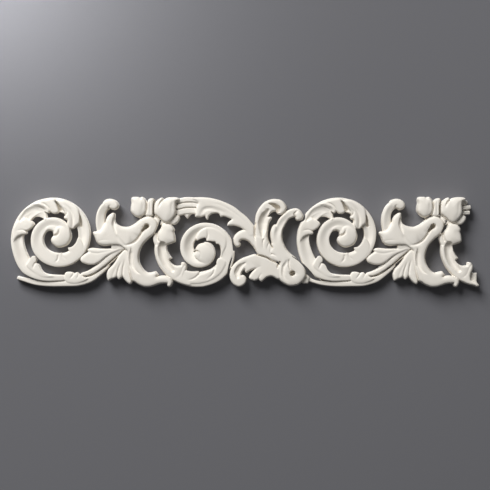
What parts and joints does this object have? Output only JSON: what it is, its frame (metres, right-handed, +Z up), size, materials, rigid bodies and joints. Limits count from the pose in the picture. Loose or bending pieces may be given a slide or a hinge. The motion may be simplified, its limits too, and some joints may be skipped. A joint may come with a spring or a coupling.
{
  "type": "decorative moulding",
  "caption": "Pierced scroll moulding of acanthus leaves, volutes, buds and rolled horns, cast in one piece with a flat back to fix on a wall, door or cabinet.",
  "frame": {"origin": "on the flat back, in the middle of the broad leaf at the foot near the centre of the length, where the casting is fixed to the wall", "axes": "+X along the length to the right as seen, +Y out of the flat back into the wall, +Z up"},
  "size_m": [0.4681, 0.017, 0.0903],
  "materials": {
    "casting": "off-white cast resin, satin, unpainted"
  },
  "bodies": {
    "root": {"scroll_moulding": "casting"}
  },
  "joints": []
}
